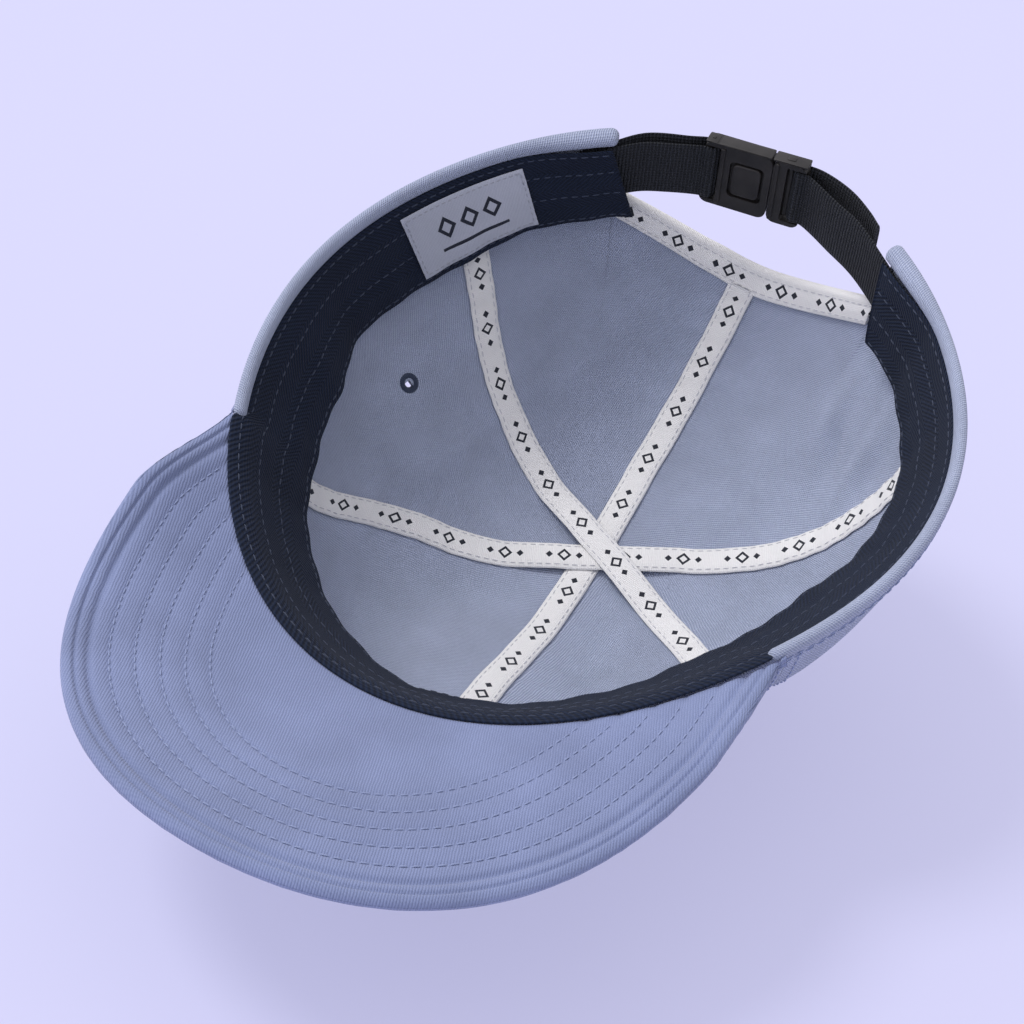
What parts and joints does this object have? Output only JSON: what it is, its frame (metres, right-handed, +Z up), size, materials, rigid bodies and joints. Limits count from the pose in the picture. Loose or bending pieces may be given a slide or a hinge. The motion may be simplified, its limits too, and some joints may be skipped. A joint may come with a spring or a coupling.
{
  "type": "six panel cap",
  "caption": "Soft six panel cap in blue-grey twill lying mouth up on its crown, with taped seams, sweatband, peak and a buckled rear strap.",
  "frame": {"origin": "under the middle of the cap's box, on the floor it lies on", "axes": "+Z up from the floor, -Y towards the tip of the peak, +X towards the wearer's right"},
  "size_m": [0.1764, 0.26, 0.1197],
  "materials": {
    "cap_cloth": "blue-grey cotton twill",
    "navy_thread": "navy embroidery thread",
    "seam_tape": "white woven tape",
    "band_cloth": "navy herringbone cotton",
    "label_cloth": "light grey woven damask",
    "webbing": "charcoal ribbed webbing",
    "buckle_plastic": "fine matte black-brown acetal"
  },
  "bodies": {
    "root": {"panel_side_left": "cap_cloth", "panel_front_left": "cap_cloth", "panel_front_right": "cap_cloth", "panel_side_right": "cap_cloth", "panel_back_right": "cap_cloth", "panel_back_left": "cap_cloth", "eyelet_left": "navy_thread", "eyelet_right": "navy_thread", "button": "cap_cloth", "tape_front_back": "seam_tape", "tape_left_right": "seam_tape", "tape_right_left": "seam_tape", "tape_arch": "seam_tape", "sweatband": "band_cloth", "label": "label_cloth", "peak_under": "cap_cloth", "peak_top": "cap_cloth", "strap_left": "webbing", "strap_right": "webbing", "buckle_socket": "buckle_plastic", "buckle_plug": "buckle_plastic"}
  },
  "joints": []
}
